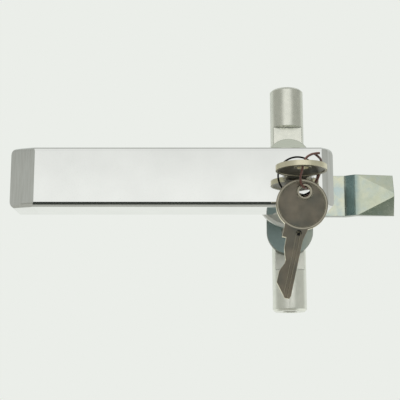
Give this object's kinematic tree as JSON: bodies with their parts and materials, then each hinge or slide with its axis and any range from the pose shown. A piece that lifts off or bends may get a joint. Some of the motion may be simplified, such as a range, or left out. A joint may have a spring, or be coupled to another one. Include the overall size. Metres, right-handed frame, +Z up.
{
  "type": "locking l-handle",
  "caption": "Chrome L-handle with a key lock, a door flange, a cranked latch cam and sliding rod connectors for a three-point cabinet latch, with a spare key on a wire.",
  "frame": {"origin": "on the turning axis, in the outer face of the door", "axes": "+X from the lock to the tongue, +Y into the door, +Z up"},
  "size_m": [0.174, 0.0838, 0.1085],
  "materials": {
    "chrome_plate": "bright chrome plate on a die casting",
    "plated_steel": "zinc plate",
    "rod_steel": "turned steel, zinc plate",
    "bearing_zinc": "die casting, satin",
    "plug_zinc": "die casting, satin",
    "dark_steel": "blackened steel",
    "wafer_brass": "stamped brass",
    "gasket_rubber": "black rubber",
    "washer_nylon": "nylon",
    "key_metal": "nickel plate, handled",
    "wire_lacquer": "brown lacquered wire"
  },
  "bodies": {
    "base": {"bearing_flange": "bearing_zinc", "door_gasket": "gasket_rubber", "lock_washer": "plated_steel", "ring_nut": "plated_steel"},
    "handle": {"handle_casting": "chrome_plate", "thrust_washer": "washer_nylon", "lock_sleeve": "chrome_plate", "sleeve_screw": "dark_steel", "cam_plate": "plated_steel", "cam_washer": "plated_steel", "cam_screw": "plated_steel", "upper_pin": "rod_steel", "lower_pin": "rod_steel", "pin_clips": "dark_steel"},
    "plug": {"lock_plug": "plug_zinc", "lock_wafers": "wafer_brass", "plug_clip": "dark_steel", "lock_driver": "plug_zinc"},
    "bolt": {"locking_bolt": "rod_steel"},
    "key": {"inserted_key": "key_metal"},
    "hanging_key": {"spare_key": "key_metal", "tie_wire": "wire_lacquer"},
    "upper_rod": {"upper_rod": "rod_steel"},
    "lower_rod": {"lower_rod": "rod_steel"}
  },
  "joints": [
    {"name": "handle_turn", "type": "hinge", "parent": "base", "child": "handle", "pos_m": [0, 0, 0], "axis": [0, -1, 0], "range_deg": [0, 90]},
    {"name": "upper_rod_pivot", "type": "hinge", "parent": "handle", "child": "upper_rod", "pos_m": [0, 0.0141, 0.017], "axis": [0, -1, 0], "range_deg": [-90, 0]},
    {"name": "lower_rod_pivot", "type": "hinge", "parent": "handle", "child": "lower_rod", "pos_m": [0, 0.0141, -0.017], "axis": [0, -1, 0], "range_deg": [-90, 0]},
    {"name": "key_turn", "type": "hinge", "parent": "handle", "child": "plug", "pos_m": [0, 0, 0], "axis": [0, 1, 0], "range_deg": [0, 90]},
    {"name": "bolt_slide", "type": "slide", "parent": "handle", "child": "bolt", "axis": [1, 0, 0], "range_m": [0, 0.0034]},
    {"name": "key_pull", "type": "slide", "parent": "plug", "child": "key", "axis": [0, -1, 0], "range_m": [0, 0.03]},
    {"name": "spare_swing", "type": "hinge", "parent": "key", "child": "hanging_key", "pos_m": [0.0002, -0.058, 0], "axis": [0, 1, 0], "range_deg": [-6, 6]}
  ],
  "couplings": [
    {"joint": "upper_rod_pivot", "follows": "handle_turn", "ratio": -1},
    {"joint": "lower_rod_pivot", "follows": "handle_turn", "ratio": -1},
    {"joint": "bolt_slide", "follows": "key_turn", "m_per_rad": 0.0021608}
  ]
}
